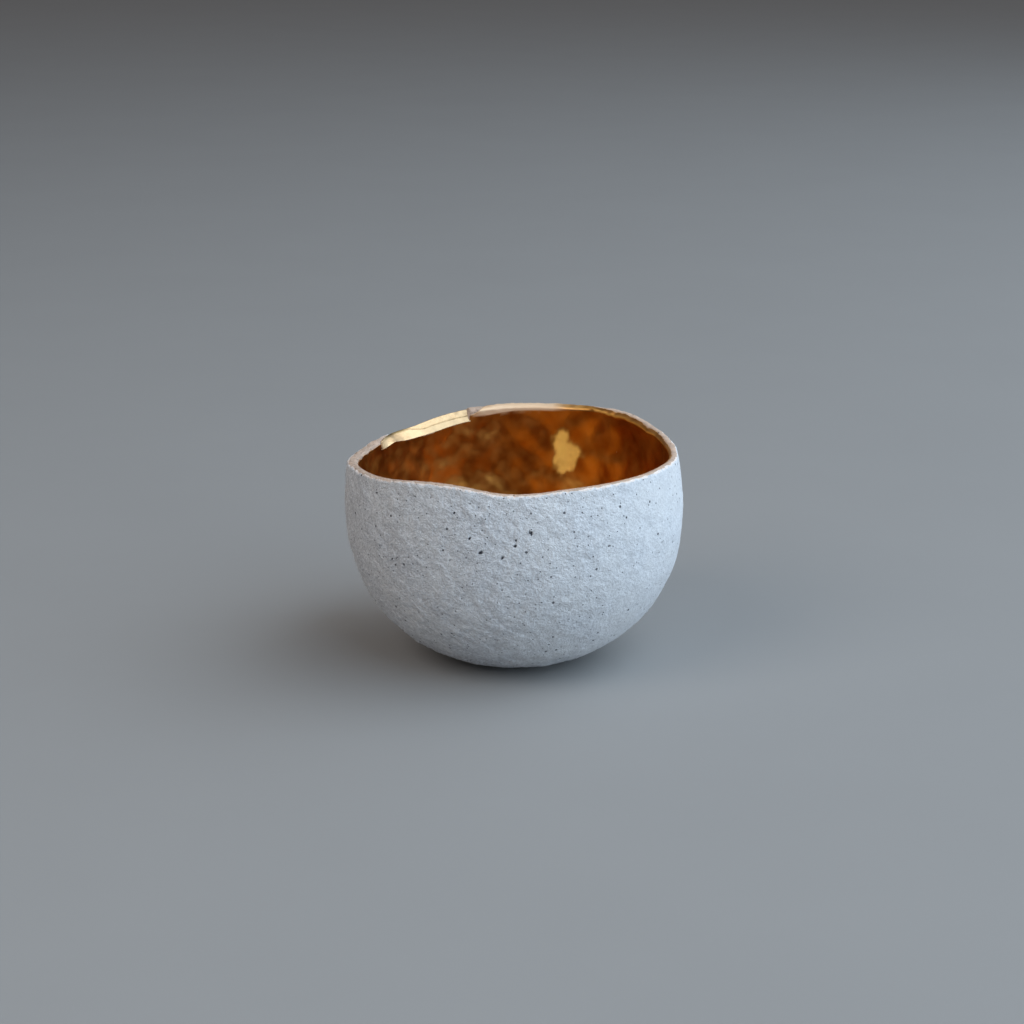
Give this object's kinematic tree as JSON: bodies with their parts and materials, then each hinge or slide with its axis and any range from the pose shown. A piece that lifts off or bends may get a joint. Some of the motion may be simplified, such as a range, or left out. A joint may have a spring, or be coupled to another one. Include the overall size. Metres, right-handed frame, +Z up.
{
  "type": "kintsugi sake cup",
  "caption": "Small round-bottomed unglazed stoneware cup for sake, gilded inside, its wavy rim chipped and mended with gilded lacquer.",
  "frame": {"origin": "centre of the flat that the cup rests on, on the surface it stands on", "axes": "+Z up out of the mouth; -Y towards the viewer; the mended chip is at the back left, at azimuth 107 to 147 degrees from +X"},
  "size_m": [0.07, 0.07, 0.0461],
  "materials": {
    "stoneware": "matte, unglazed light grey stoneware with fine dark specks",
    "gilded_lacquer": "burnished gold powder over lacquer; brass stands in for gold",
    "gold_lustre": "mirror-like amber gold lustre over glaze, on the inside of the cup; brass stands in for gold"
  },
  "bodies": {
    "root": {"stoneware_cup": "stoneware", "kintsugi_fill": "gilded_lacquer"}
  },
  "joints": []
}
